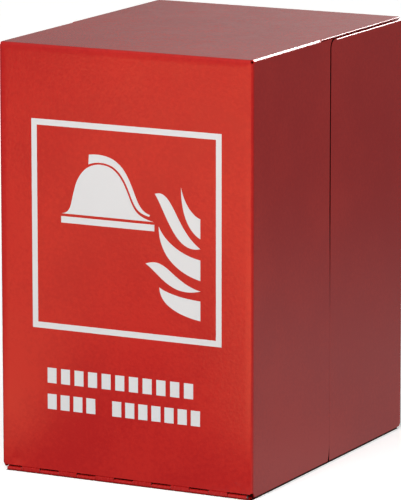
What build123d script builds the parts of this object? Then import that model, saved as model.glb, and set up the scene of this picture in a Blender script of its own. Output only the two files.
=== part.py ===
from build123d import *
import math
import os

# A fire-blanket case of folded sheet steel: a fixed rear body on a tray, and a front cover
# that carries the top plate and tips forwards on a piano hinge along the bottom front edge.
# Millimetres, +Z up, the front faces -Y, the origin is under the middle of the case.

WIDTH = 200.0
DEPTH = 247.0
HEIGHT = 310.0
SHEET = 1.0
BEND = 1.8
TOP_BEND = 2.0
FRONT = -DEPTH / 2
BACK = DEPTH / 2
SIDE = WIDTH / 2
UNDERSIDE = HEIGHT - SHEET
TOP_BACK = BACK - 6.0
TOP_CORNER = 2.5

# The cover and the rear body meet at half depth, in a seam that widens upwards.
PANEL_BOTTOM = 2.2
SEAM_GAP_TOP = 1.8
SEAM_GAP_BOTTOM = 0.12
SEAM_TAPER_START = 106.0
SEAM_TAPER_END = 185.0
SHOULDER = 6.5
BODY_TOP = UNDERSIDE - SHEET
LIP_BEND = 1.6
LIP_WIDTH = 12.0
LIP_DROP = 9.0
NOTCH = 2.3
FOLD_START = FRONT + NOTCH
FOLD_END = -16.0
FACE_BOTTOM = 4.6
CORNER_RUN = 6.0
CORNER_RELIEF = 0.8
CUT_EDGE_ROUND = 0.42
SEAM_FOOT_WIDTH = 2.4
SEAM_FOOT_HEIGHT = 12.0
SEAM_FOOT_RADIUS = 45.0
NOSE_GAP = 0.3
NOSE_ANGLE = math.radians(35)
LIP_OVERLAP = 4.0
BACK_INSET = 4.0
PANEL_CUT = 1.8
LIP_SETBACK = 2.5

# The tray closes the bottom and stands up inside the panels.
UPSTAND = 14.0
COVER_CLEARANCE = 0.6
TRAY_FRONT = FRONT + 3.7
TRAY_INSET = 4.0
FRONT_UPSTAND = (FRONT + 6.0, -3.0)
REAR_UPSTAND = (3.0, BACK - 5.0)
BACK_UPSTAND_RUN = 20.0

# Piano hinge: 15 mm knuckles rolled from 0.75 mm strip round a 1.6 mm pin.
LEAF = 0.75
KNUCKLE = 15.0
FIRST_KNUCKLE = 12.0
KNUCKLE_COUNT = 13
KNUCKLE_GAP = 0.4
HINGE_LEFT = -96.5
HINGE_RIGHT = HINGE_LEFT + FIRST_KNUCKLE + (KNUCKLE_COUNT - 1) * KNUCKLE
PIN_RADIUS = 0.8
BORE_RADIUS = 0.85
BARREL_RADIUS = BORE_RADIUS + LEAF
HINGE_Y = FRONT + BARREL_RADIUS
HINGE_Z = BARREL_RADIUS + 0.2
LEAF_HEIGHT = 22.0
LEAF_DEPTH = 22.0
LEAF_CLEARANCE = 0.6
LEAF_RISE = 0.3

# Wall holes in the rear body.
WALL_HOLE_RADIUS = 3.0
WALL_SPACING_X = 140.0
WALL_SPACING_Z = 200.0
WALL_CENTRE_Z = 155.0

# Magnetic catch under the rear body's top flange, and its strike plate under the cover's top.
FLANGE_FRONT = BACK - 31.0
CATCH_FRONT = FLANGE_FRONT - 2.5
CATCH_DEPTH = 17.5
CATCH_HALF = 22.0
CATCH_HEIGHT = 14.0
CATCH_TOP = BODY_TOP - SHEET
CATCH_ROUND = 1.5
CATCH_WALL = 2.0
STACK_MIDDLE = CATCH_TOP - CATCH_HEIGHT / 2
EAR_FRONT = CATCH_FRONT + 3.0
EAR_HALF = 35.0
EAR_THICK = 3.0
EAR_DEPTH = 12.0
EAR_ROUND = 4.0
POLE_HALF = 16.0
POLE_THICK = 1.6
POLE_PROUD = 0.3
MAGNET_THICK = 6.0
MAGNET_SETBACK = 2.0
STACK_BACK = CATCH_FRONT + CATCH_DEPTH - CATCH_WALL
FIT = 0.2
STUD_X = 28.5
STUD_RADIUS = 1.5
STUD_LENGTH = 9.0
STUD_HOLE = 1.8
STUD_POINT = 0.4
WASHER_RADIUS = 3.5
WASHER_THICK = 0.5
NUT_ACROSS_FLATS = 5.5
NUT_THICK = 2.4
THREAD_CLEARANCE = 0.05
STRIKE_HALF = 20.0
STRIKE_GAP = 0.25
STRIKE_LENGTH = 18.0

# Folded blanket and its two pull straps.
BLANKET_HALF = 89.0
BLANKET_BACK = BACK - 6.0
BLANKET_DEPTH = 176.0
BLANKET_HEIGHT = 252.0
BLANKET_ROUND = 6.0
SOFT_GAP = 0.3
STRAP_X = 45.0
STRAP_WIDTH = 25.0
STRAP_THICK = 3.2
STRAP_LENGTH = 150.0
STRAP_DROP = 2.0
STRAP_ROUND = 0.45 * STRAP_THICK

# White film on the front: a square sign and two rows of plain blocks under it.
FILM = 0.15
SIGN_SIZE = 150.0
SIGN_LINE = 4.3
SIGN_X = 0.9
SIGN_Z = 182.3
SIGN_LEFT = SIGN_X - SIGN_SIZE / 2
SIGN_BOTTOM = SIGN_Z - SIGN_SIZE / 2
FLAME_END = 133.5
BLOCK_HEIGHT = 11.0
BLOCK_WIDTH = 7.2
ROW_LEFT = -62.5
ROWS = [(68.0, 10.9, range(11)), (49.0, 10.4, [0, 1, 2, 3, 5, 6, 7, 8, 9, 10, 11])]


def span_x(section, start, end):
    """The solid of a section drawn in Y and Z, from x = start to x = end."""
    return extrude(Plane.YZ.offset(start) * section, end - start)


def span_y(section, start, end):
    """The solid of a section drawn in X and Z, from y = start to y = end."""
    return extrude(Plane.XZ.offset(-end) * section, end - start)


def span_z(section, start, end):
    """The solid of a section drawn in X and Y, from z = start to z = end."""
    return extrude(Plane.XY.offset(start) * section, end - start)


def block(low, high):
    """A rectangular block between two corners."""
    size = Vector(high) - Vector(low)
    return Pos(*(Vector(low) + size / 2)) * Box(size.X, size.Y, size.Z)


def folded(points, bend, side, thickness=SHEET):
    """The section of a folded sheet: its outer line follows the points, bent at each corner."""
    line = FilletPolyline(*points, radius=bend).wire()
    return make_face(line.offset_2d(thickness, side=side, closed=True).edges())


def both_sides(solid):
    """A piece of the right side, with its mirror image on the left."""
    return solid + mirror(solid, about=Plane.YZ)


def side_fold(top, bend, start, end):
    """The fold along the top of the right side, from a level strip into an upright one."""
    points = [(SIDE, top - LIP_DROP), (SIDE, top), (SIDE - LIP_WIDTH, top)]
    return span_y(folded(points, bend, Side.LEFT), start, end)


def cover_flange():
    """The cover's right flange: its rear edge is the seam, with a nose over the body's shoulder."""
    reach = SHOULDER + SEAM_GAP_TOP
    nose_z = UNDERSIDE - NOSE_GAP
    shoulder_z = BODY_TOP - SHOULDER
    nose_y = SHOULDER - math.sqrt(reach**2 - (nose_z - shoulder_z) ** 2)
    middle_y = SHOULDER - reach * math.cos(NOSE_ANGLE)
    middle_z = shoulder_z + reach * math.sin(NOSE_ANGLE)
    bend_end = FRONT + BEND
    corner_bottom = FACE_BOTTOM + CORNER_RELIEF
    corner_top = UNDERSIDE - NOTCH + SHEET
    edge = -SEAM_GAP_BOTTOM
    foot = edge - SEAM_FOOT_WIDTH
    foot_top = PANEL_BOTTOM + SEAM_FOOT_HEIGHT
    outline = Curve() + [
        Line((bend_end, corner_bottom), (bend_end + 2 * SHEET, PANEL_BOTTOM)),
        Line((bend_end + 2 * SHEET, PANEL_BOTTOM), (foot, PANEL_BOTTOM)),
        RadiusArc((foot, PANEL_BOTTOM), (edge, foot_top), -SEAM_FOOT_RADIUS),
        Line((edge, foot_top), (edge, SEAM_TAPER_START)),
        Line((edge, SEAM_TAPER_START), (-SEAM_GAP_TOP, SEAM_TAPER_END)),
        Line((-SEAM_GAP_TOP, SEAM_TAPER_END), (-SEAM_GAP_TOP, shoulder_z)),
        ThreePointArc((-SEAM_GAP_TOP, shoulder_z), (middle_y, middle_z), (nose_y, nose_z)),
        Polyline(
            (nose_y, nose_z),
            (FOLD_END, nose_z),
            (FOLD_END, UNDERSIDE - LIP_OVERLAP),
            (FOLD_START, UNDERSIDE - LIP_OVERLAP),
            (FOLD_START, corner_top),
            (bend_end, corner_top),
            (bend_end, corner_bottom),
        ),
    ]
    return span_x(make_face(outline.edges()), SIDE - SHEET, SIDE)


def front_cover():
    """Face, top plate and side flanges; the top folds down at the front and along half of each side."""
    shell_line = [(FRONT, FACE_BOTTOM), (FRONT, HEIGHT), (TOP_BACK, HEIGHT)]
    shell = span_x(folded(shell_line, BEND, Side.RIGHT), -SIDE, SIDE)
    corner_strip = block((SIDE - BEND, FRONT - 1, 0), (SIDE + 1, FRONT + NOTCH, HEIGHT + 1))
    folded_strip = block((SIDE - TOP_BEND, FRONT, UNDERSIDE - SHEET), (SIDE + 1, FOLD_END, HEIGHT + 1))
    shell = shell - both_sides(corner_strip) - both_sides(folded_strip)
    rear_corners = shell.edges().filter_by(Axis.Z).filter_by_position(Axis.Y, TOP_BACK - 1, TOP_BACK + 1)
    shell = fillet(rear_corners, TOP_CORNER)
    long_edges = shell.edges().filter_by(Axis.Y)
    cut_edges = long_edges.filter_by(lambda edge: abs(edge.center().X) > SIDE - SHEET / 2)
    shell = fillet(cut_edges, CUT_EDGE_ROUND)
    corner_line = [(SIDE - CORNER_RUN, FRONT), (SIDE, FRONT), (SIDE, FRONT + CORNER_RUN)]
    corner_bottom = FACE_BOTTOM + CORNER_RELIEF
    corner = span_z(folded(corner_line, BEND, Side.LEFT), corner_bottom, UNDERSIDE - NOTCH + SHEET)
    fold = side_fold(HEIGHT, TOP_BEND, FOLD_START, FOLD_END)
    return shell + both_sides(corner + cover_flange() + fold)


def body_panel():
    """The rear body's right side panel: rounded shoulder at the seam, cut corner at the back."""
    shoulder_z = BODY_TOP - SHOULDER
    lip_start = SHOULDER + LIP_SETBACK
    lip_end = BACK - BACK_INSET
    bend_start = BACK - BEND
    outline = Curve() + [
        Line((0, PANEL_BOTTOM), (0, shoulder_z)),
        RadiusArc((0, shoulder_z), (SHOULDER, BODY_TOP), SHOULDER),
        Polyline(
            (SHOULDER, BODY_TOP),
            (lip_start, BODY_TOP),
            (lip_start, BODY_TOP - LIP_OVERLAP),
            (lip_end, BODY_TOP - LIP_OVERLAP),
            (lip_end, BODY_TOP - BEND),
            (bend_start, BODY_TOP - BEND),
            (bend_start, PANEL_BOTTOM + PANEL_CUT),
            (bend_start - PANEL_CUT, PANEL_BOTTOM),
            (0, PANEL_BOTTOM),
        ),
    ]
    panel = span_x(make_face(outline.edges()), SIDE - SHEET, SIDE)
    return panel + side_fold(BODY_TOP, LIP_BEND, lip_start, lip_end)


def rear_body():
    """Back wall with its wall holes and top flange, and the rear halves of the sides."""
    wall_line = [(BACK, PANEL_BOTTOM), (BACK, BODY_TOP), (FLANGE_FRONT, BODY_TOP)]
    flange_half = SIDE - LIP_WIDTH - BACK_INSET
    wall_half = SIDE - BACK_INSET
    wall = span_x(folded(wall_line, BEND, Side.LEFT), -flange_half, flange_half)
    wall += block((-wall_half, BACK - SHEET, PANEL_BOTTOM), (wall_half, BACK, BODY_TOP - BEND))
    corner_line = [(SIDE - CORNER_RUN, BACK), (SIDE, BACK), (SIDE, BACK - CORNER_RUN)]
    corner = span_z(folded(corner_line, BEND, Side.RIGHT), PANEL_BOTTOM + PANEL_CUT, BODY_TOP - BEND)
    body = wall + both_sides(corner + body_panel())
    hole = Plane.XZ * Circle(WALL_HOLE_RADIUS)
    for x in (-WALL_SPACING_X / 2, WALL_SPACING_X / 2):
        for z in (WALL_CENTRE_Z - WALL_SPACING_Z / 2, WALL_CENTRE_Z + WALL_SPACING_Z / 2):
            body -= Pos(x, BACK + SHEET, z) * extrude(hole, 3 * SHEET)
    return body


def base_tray():
    """Floor of the case: upstands welded to the rear body, and set in where the cover closes."""
    floor_half = SIDE - TRAY_INSET
    tray = block((-floor_half, TRAY_FRONT, 0), (floor_half, BACK - TRAY_INSET, SHEET))
    for half, (start, end) in (
        (SIDE - SHEET, REAR_UPSTAND),
        (SIDE - SHEET - COVER_CLEARANCE, FRONT_UPSTAND),
    ):
        line = [(-half, UPSTAND), (-half, 0), (half, 0), (half, UPSTAND)]
        tray += span_y(folded(line, BEND, Side.LEFT), start, end)
    rear_line = [(BACK - BACK_UPSTAND_RUN, 0), (BACK - SHEET, 0), (BACK - SHEET, UPSTAND)]
    rear_half = SIDE - CORNER_RUN
    tray += span_x(folded(rear_line, BEND, Side.LEFT), -rear_half, rear_half)
    return tray


def knuckle_spans():
    """Start, end and owner of each knuckle from left to right; even ones belong to the body."""
    start = HINGE_LEFT
    spans = []
    for index in range(KNUCKLE_COUNT):
        end = start + (FIRST_KNUCKLE if index == 0 else KNUCKLE)
        spans.append((start + KNUCKLE_GAP / 2, end - KNUCKLE_GAP / 2, index % 2 == 0))
        start = end
    return spans


def hinge_leaf(plate, tab_line, on_body):
    """A hinge leaf: its plate, and a tab and a bored ring for each knuckle that it owns."""
    leaf = plate
    axis = Plane.YZ * Pos(HINGE_Y, HINGE_Z)
    for start, end, owner in knuckle_spans():
        if owner == on_body:
            tab_points = [(HINGE_Y + y, HINGE_Z + z) for y, z in tab_line]
            leaf += span_x(make_face(Polyline(*tab_points, close=True).edges()), start, end)
            leaf += Pos(start, 0, 0) * extrude(axis * Circle(BARREL_RADIUS), end - start)
            leaf -= Pos(start - 1, 0, 0) * extrude(axis * Circle(BORE_RADIUS), end - start + 2)
    return leaf


def hinge_leaf_cover():
    """Upright leaf, spot-welded behind the face and cranked forwards into its knuckles."""
    back = FRONT + SHEET
    bottom = FACE_BOTTOM + LEAF_RISE
    plate = block((HINGE_LEFT, back, bottom), (HINGE_RIGHT, back + LEAF, LEAF_HEIGHT))
    y = back - HINGE_Y
    z = FACE_BOTTOM - HINGE_Z
    tab_line = [
        (-BARREL_RADIUS, 0),
        (-BARREL_RADIUS, z - 1),
        (y, z),
        (y, z + 1),
        (y + LEAF, z + 1),
        (y + LEAF, z - LEAF_RISE),
        (y, z - 1.1),
        (y, 0),
    ]
    return hinge_leaf(plate, tab_line, False)


def hinge_leaf_body():
    """Flat leaf, spot-welded on the tray and cut back round the cover's knuckles."""
    start = HINGE_Y + BARREL_RADIUS + LEAF_CLEARANCE
    plate = block((HINGE_LEFT, start, SHEET), (HINGE_RIGHT, FRONT + LEAF_DEPTH, SHEET + LEAF))
    low = SHEET - HINGE_Z
    reach = BARREL_RADIUS + 1
    tab_line = [(0, low), (reach, low), (reach, low + LEAF), (0, low + LEAF)]
    return hinge_leaf(plate, tab_line, True)


def hinge_pin():
    """Plain wire pin through every knuckle."""
    pin = extrude(Plane.YZ * Pos(HINGE_Y, HINGE_Z) * Circle(PIN_RADIUS), HINGE_RIGHT - HINGE_LEFT)
    return Pos(HINGE_LEFT, 0, 0) * pin


def stud_places():
    """Where the two weld studs stand, in X and Y."""
    y = EAR_FRONT + EAR_DEPTH / 2
    return [(-STUD_X, y), (STUD_X, y)]


def catch_housing():
    """Moulded catch body with an ear each side, open to the front round the magnet."""
    body = block(
        (-CATCH_HALF, CATCH_FRONT, CATCH_TOP - CATCH_HEIGHT),
        (CATCH_HALF, CATCH_FRONT + CATCH_DEPTH, CATCH_TOP),
    )
    body = fillet(body.edges().filter_by(Axis.Y), CATCH_ROUND)
    ears = block(
        (-EAR_HALF, EAR_FRONT, CATCH_TOP - EAR_THICK),
        (EAR_HALF, EAR_FRONT + EAR_DEPTH, CATCH_TOP),
    )
    body += fillet(ears.edges().filter_by(Axis.Z), EAR_ROUND)
    stack = POLE_THICK + MAGNET_THICK / 2 + FIT
    body -= block(
        (-POLE_HALF - FIT, CATCH_FRONT - 1, STACK_MIDDLE - stack),
        (POLE_HALF + FIT, STACK_BACK + FIT, STACK_MIDDLE + stack),
    )
    for x, y in stud_places():
        body -= Pos(x, y, CATCH_TOP - EAR_THICK / 2) * Cylinder(STUD_HOLE, EAR_THICK + 2)
    return body


def catch_magnet():
    """Ferrite block between the two pole plates."""
    return block(
        (-POLE_HALF, CATCH_FRONT + MAGNET_SETBACK, STACK_MIDDLE - MAGNET_THICK / 2),
        (POLE_HALF, STACK_BACK, STACK_MIDDLE + MAGNET_THICK / 2),
    )


def catch_pole_plates():
    """Two steel plates, one under and one over the magnet, that reach the strike plate."""
    front = CATCH_FRONT - POLE_PROUD
    plates = []
    for low in (STACK_MIDDLE - MAGNET_THICK / 2 - POLE_THICK, STACK_MIDDLE + MAGNET_THICK / 2):
        plates.append(block((-POLE_HALF, front, low), (POLE_HALF, STACK_BACK, low + POLE_THICK)))
    return Compound(children=plates)


def catch_studs():
    """Two M3 weld studs under the rear body's top flange."""
    studs = []
    for x, y in stud_places():
        stud = Pos(x, y, CATCH_TOP - STUD_LENGTH / 2) * Cylinder(STUD_RADIUS, STUD_LENGTH)
        studs.append(chamfer(stud.faces().sort_by(Axis.Z)[0].edges(), STUD_POINT))
    return Compound(children=studs)


def catch_washers():
    """A plain washer under each nut."""
    top = CATCH_TOP - EAR_THICK
    washers = []
    for x, y in stud_places():
        ring = Circle(WASHER_RADIUS) - Circle(STUD_RADIUS + THREAD_CLEARANCE)
        washers.append(Pos(x, y, 0) * span_z(ring, top - WASHER_THICK, top))
    return Compound(children=washers)


def catch_nuts():
    """An M3 hexagon nut on each stud."""
    top = CATCH_TOP - EAR_THICK - WASHER_THICK
    nuts = []
    for x, y in stud_places():
        hexagon = RegularPolygon(NUT_ACROSS_FLATS / 2, 6, major_radius=False)
        section = hexagon - Circle(STUD_RADIUS + THREAD_CLEARANCE)
        nuts.append(Pos(x, y, 0) * span_z(section, top - NUT_THICK, top))
    return Compound(children=nuts)


def strike_plate():
    """Angle plate, spot-welded under the cover's top and pulled on to the pole plates."""
    face_y = CATCH_FRONT - POLE_PROUD - STRIKE_GAP
    line = [
        (face_y - STRIKE_LENGTH, UNDERSIDE),
        (face_y, UNDERSIDE),
        (face_y, UNDERSIDE - STRIKE_LENGTH),
    ]
    return span_x(folded(line, BEND, Side.RIGHT), -STRIKE_HALF, STRIKE_HALF)


def fire_blanket():
    """The folded blanket as one plain block, standing on the tray."""
    bottom = SHEET + SOFT_GAP
    pack = block(
        (-BLANKET_HALF, BLANKET_BACK - BLANKET_DEPTH, bottom),
        (BLANKET_HALF, BLANKET_BACK, bottom + BLANKET_HEIGHT),
    )
    return fillet(pack.edges().filter_by(Axis.Z), BLANKET_ROUND)


def pull_strap(x):
    """A flattened webbing loop that hangs down the front of the blanket."""
    back = BLANKET_BACK - BLANKET_DEPTH - SOFT_GAP
    top = SHEET + SOFT_GAP + BLANKET_HEIGHT - STRAP_DROP
    strap = block(
        (x - STRAP_WIDTH / 2, back - STRAP_THICK, top - STRAP_LENGTH),
        (x + STRAP_WIDTH / 2, back, top),
    )
    return fillet(strap.edges().filter_by(Axis.X), STRAP_ROUND)


def film(sketch):
    """A thin film on the cover's face, from a drawing in X and Z."""
    return span_y(sketch, FRONT - FILM, FRONT)


def sign_frame():
    """Square outline of the sign."""
    inner = SIGN_SIZE - 2 * SIGN_LINE
    return film(Pos(SIGN_X, SIGN_Z) * (Rectangle(SIGN_SIZE, SIGN_SIZE) - Rectangle(inner, inner)))


def on_sign(x, z):
    """A point of the sign, measured from its lower left corner."""
    return (SIGN_LEFT + x, SIGN_BOTTOM + z)


def closed_outline(*edges):
    """A face inside edges that join end to end."""
    return make_face((Curve() + list(edges)).edges())


def sign_helmet():
    """A plain side view of a helmet: comb, bell-shaped dome and brim, with thin gaps between."""
    dome = closed_outline(
        Bezier(on_sign(24, 84), on_sign(32, 85), on_sign(31, 92), on_sign(34, 101)),
        Bezier(on_sign(34, 101), on_sign(37, 114), on_sign(45, 121), on_sign(55, 121)),
        Bezier(on_sign(55, 121), on_sign(68, 121), on_sign(73, 111), on_sign(78, 99)),
        Bezier(on_sign(78, 99), on_sign(82, 89), on_sign(86, 86), on_sign(97, 84)),
        Line(on_sign(97, 84), on_sign(24, 84)),
    )
    comb = closed_outline(
        Line(on_sign(45.5, 120.5), on_sign(46, 127.5)),
        Bezier(on_sign(46, 127.5), on_sign(72, 131), on_sign(77, 114), on_sign(83, 100)),
        Bezier(on_sign(83, 100), on_sign(86, 93), on_sign(89, 90), on_sign(94, 88.6)),
        Line(on_sign(94, 88.6), on_sign(93.5, 87.4)),
        Bezier(on_sign(93.5, 87.4), on_sign(86, 89), on_sign(83, 91), on_sign(79.4, 99.6)),
        Bezier(on_sign(79.4, 99.6), on_sign(74, 112.5), on_sign(69, 122.4), on_sign(55, 122.4)),
        Bezier(on_sign(55, 122.4), on_sign(51, 122.4), on_sign(48, 121.6), on_sign(45.5, 120.5)),
    )
    brim = Pos(*on_sign(60.5, 79.7)) * Rectangle(74, 4.6)
    return film(dome) + film(comb) + film(brim)


def flame_tongue(tip, high, low):
    """A flame with one pointed tip, hollow above and full below, cut straight where it ends."""
    across = FLAME_END - tip[0]
    fall = tip[1] - high
    drop = tip[1] - low
    return closed_outline(
        Bezier(
            on_sign(*tip),
            on_sign(tip[0] + 0.15 * across, tip[1] - 0.5 * fall),
            on_sign(tip[0] + 0.55 * across, high + 0.1 * fall),
            on_sign(FLAME_END, high),
        ),
        Line(on_sign(FLAME_END, high), on_sign(FLAME_END, low)),
        Bezier(
            on_sign(FLAME_END, low),
            on_sign(FLAME_END - 0.5 * across, low + 0.1 * drop),
            on_sign(tip[0], low + 0.4 * drop),
            on_sign(*tip),
        ),
    )


def flame_lick(tip, end):
    """A flame that curls over at its tip and runs out to a point."""
    across = FLAME_END - tip[0]
    drop = tip[1] - end
    return closed_outline(
        Bezier(
            on_sign(*tip),
            on_sign(tip[0] + 0.4 * across, tip[1] + 0.15 * across),
            on_sign(FLAME_END - 0.55 * across, end + 0.33 * drop),
            on_sign(FLAME_END, end),
        ),
        Bezier(
            on_sign(FLAME_END, end),
            on_sign(FLAME_END - 0.55 * across, end - 0.15 * across),
            on_sign(tip[0] + 0.25 * across, tip[1] - 0.35 * drop),
            on_sign(*tip),
        ),
    )


def sign_flames():
    """Five flames that end on one upright line."""
    tongues = [((118.5, 110), 89, 75), ((101, 81), 60, 45.5), ((101.5, 38), 31, 17)]
    licks = [((98, 104), 68), ((90.5, 54), 38)]
    flames = Part()
    for tip, high, low in tongues:
        flames += film(flame_tongue(tip, high, low))
    for tip, end in licks:
        flames += film(flame_lick(tip, end))
    return flames


def caption_blocks():
    """Two rows of plain blocks, the size of a line of capitals."""
    blocks = []
    shape = Rectangle(BLOCK_WIDTH, BLOCK_HEIGHT)
    for bottom, pitch, places in ROWS:
        for place in places:
            x = ROW_LEFT + BLOCK_WIDTH / 2 + place * pitch
            blocks.append(film(Pos(x, bottom + BLOCK_HEIGHT / 2) * shape))
    return Compound(children=blocks)


NODES = {
    "front_cover": front_cover(),
    "rear_body": rear_body(),
    "base_tray": base_tray(),
    "hinge_leaf_cover": hinge_leaf_cover(),
    "hinge_leaf_body": hinge_leaf_body(),
    "hinge_pin": hinge_pin(),
    "catch_housing": catch_housing(),
    "catch_magnet": catch_magnet(),
    "catch_pole_plates": catch_pole_plates(),
    "catch_studs": catch_studs(),
    "catch_washers": catch_washers(),
    "catch_nuts": catch_nuts(),
    "strike_plate": strike_plate(),
    "fire_blanket": fire_blanket(),
    "pull_strap_left": pull_strap(-STRAP_X),
    "pull_strap_right": pull_strap(STRAP_X),
    "sign_frame": sign_frame(),
    "sign_helmet": sign_helmet(),
    "sign_flames": sign_flames(),
    "caption_blocks": caption_blocks(),
}

os.makedirs("parts", exist_ok=True)
for name, solid in NODES.items():
    export_step(solid, f"parts/{name}.step")
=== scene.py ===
import math
import bpy
import numpy as np
from mathutils import Matrix, Vector


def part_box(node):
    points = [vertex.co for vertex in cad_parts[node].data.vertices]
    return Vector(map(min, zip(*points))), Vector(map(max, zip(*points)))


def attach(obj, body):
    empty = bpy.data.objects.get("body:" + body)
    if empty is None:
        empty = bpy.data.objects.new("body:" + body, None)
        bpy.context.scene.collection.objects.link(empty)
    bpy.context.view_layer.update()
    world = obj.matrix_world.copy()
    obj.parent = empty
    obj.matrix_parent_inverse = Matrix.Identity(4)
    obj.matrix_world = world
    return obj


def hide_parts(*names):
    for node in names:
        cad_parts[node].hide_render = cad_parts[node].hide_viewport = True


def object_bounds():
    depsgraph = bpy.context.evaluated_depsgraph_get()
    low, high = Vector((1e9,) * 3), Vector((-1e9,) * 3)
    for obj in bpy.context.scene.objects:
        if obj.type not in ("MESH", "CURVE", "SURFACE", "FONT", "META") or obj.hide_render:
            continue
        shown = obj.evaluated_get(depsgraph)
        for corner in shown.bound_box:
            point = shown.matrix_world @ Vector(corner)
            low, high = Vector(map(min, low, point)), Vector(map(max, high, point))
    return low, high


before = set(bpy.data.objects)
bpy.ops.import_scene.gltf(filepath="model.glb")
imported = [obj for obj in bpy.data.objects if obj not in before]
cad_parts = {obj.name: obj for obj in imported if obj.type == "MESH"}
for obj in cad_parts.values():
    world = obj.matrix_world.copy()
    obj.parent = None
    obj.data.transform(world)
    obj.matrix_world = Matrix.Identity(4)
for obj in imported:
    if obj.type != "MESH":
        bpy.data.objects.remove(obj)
cad_low, cad_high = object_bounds()

# Camera: a long lens from the front right, a little above the case, so that its front, right side and top
# all show and upright edges stay nearly parallel.
CAMERA_AZIMUTH = math.radians(27.32)
CAMERA_ELEVATION = math.radians(11.13)
CAMERA_ROLL = math.radians(-0.03)
CAMERA_DISTANCE = 3.132
CAMERA_LENS = 311.36
SENSOR = 36.0
AIM_ACROSS = -0.0038
AIM_HEIGHT = 0.1478

across = Vector((math.cos(CAMERA_AZIMUTH), math.sin(CAMERA_AZIMUTH), 0.0))
back = Vector((
    math.sin(CAMERA_AZIMUTH) * math.cos(CAMERA_ELEVATION),
    -math.cos(CAMERA_AZIMUTH) * math.cos(CAMERA_ELEVATION),
    math.sin(CAMERA_ELEVATION),
))
upwards = back.cross(across)
right_edge = across * math.cos(CAMERA_ROLL) + upwards * math.sin(CAMERA_ROLL)
top_edge = upwards * math.cos(CAMERA_ROLL) - across * math.sin(CAMERA_ROLL)
camera_data = bpy.data.cameras.new("camera")
camera_data.lens = CAMERA_LENS
camera_data.sensor_width = SENSOR
camera_data.clip_start = 0.1
camera_data.clip_end = 100.0
camera = bpy.data.objects.new("camera", camera_data)
bpy.context.scene.collection.objects.link(camera)
place = across * AIM_ACROSS + Vector((0.0, 0.0, AIM_HEIGHT)) + back * CAMERA_DISTANCE
turn = Matrix((right_edge, top_edge, back)).transposed().to_4x4()
camera.matrix_world = Matrix.Translation(place) @ turn
bpy.context.scene.camera = camera
bpy.context.scene.view_settings.view_transform = "Standard"


# Studio: one pale paper sweep, a floor that curves up into a wall all the way round. It is matt paper that also
# glows by itself, less by the case and more further out. Only the camera sees it, so it doesn't light the case.
SWEEP_FLAT = 9.0
SWEEP_CURVE = 4.0
SWEEP_WALL = 8.0
SWEEP_FLOOR_RINGS = [0.001, 0.4, 1.2, 3.0, 6.0]
SWEEP_CURVE_RINGS = 13
SWEEP_TURNS = 96
PAPER = (0.80, 0.80, 0.79, 1.0)
PAPER_GLOW = 0.46
PAPER_FAR_GLOW = 0.80
PAPER_GLOW_START = 0.2
PAPER_GLOW_END = 2.0


def grid_faces(rows, cols, closed=False, flipped=False):
    """Corner numbers of the four-sided faces of a grid numbered row by row: (i, j), (i + 1, j), (i + 1, j + 1),
    (i, j + 1). A closed grid joins its last column to its first, and a flipped one goes round the other way."""
    row, col = np.meshgrid(np.arange(rows - 1), np.arange(cols if closed else cols - 1), indexing="ij")
    after = (col + 1) % cols
    faces = np.stack([row * cols + col, (row + 1) * cols + col, (row + 1) * cols + after, row * cols + after], -1)
    return (faces[..., [0, 3, 2, 1]] if flipped else faces).reshape(-1, 4)


def placed(name, points, faces, smooth=True):
    """An object in the scene from a list of points and a list of faces."""
    mesh = bpy.data.meshes.new(name)
    mesh.from_pydata(points.reshape(-1, 3).tolist(), [], faces)
    mesh.polygons.foreach_set("use_smooth", np.full(len(mesh.polygons), smooth))
    made = bpy.data.objects.new(name, mesh)
    bpy.context.scene.collection.objects.link(made)
    return made


def revolved(name, radii, heights, turns):
    """A surface of revolution round Z: the point (r, z) of the profile goes to (r cos a, r sin a, z)."""
    angles = np.linspace(0.0, 2 * np.pi, turns, endpoint=False)
    ring = np.stack([np.cos(angles), np.sin(angles)], axis=-1)
    points = np.concatenate(
        [radii[:, None, None] * ring[None], np.broadcast_to(heights[:, None, None], (len(radii), turns, 1))],
        axis=2,
    )
    return placed(name, points, grid_faces(len(radii), turns, closed=True).tolist())


def new_material(name):
    """An empty node material, with its node maker: make(kind, {socket: value or link}) returns the node."""
    material = bpy.data.materials.new(name)
    material.use_nodes = True
    tree = material.node_tree
    tree.nodes.clear()

    def make(kind, sockets=None, **settings):
        node = tree.nodes.new("ShaderNode" + kind)
        for key, value in settings.items():
            setattr(node, key, value)
        for key, value in (sockets or {}).items():
            if isinstance(value, bpy.types.NodeSocket):
                tree.links.new(value, node.inputs[key])
            else:
                node.inputs[key].default_value = value
        return node

    return material, make


MIX_FACTOR, MIX_FIRST, MIX_SECOND, MIX_RESULT = 0, 6, 7, 2


def mix_colours(make, factor, first, second):
    """The colour that goes from first to second as factor goes from 0 to 1. Sockets are picked by number, because
    a Mix node's number, vector and colour sockets share their names."""
    node = make("Mix", {MIX_FACTOR: factor, MIX_FIRST: first, MIX_SECOND: second}, data_type="RGBA")
    return node.outputs[MIX_RESULT]


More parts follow.
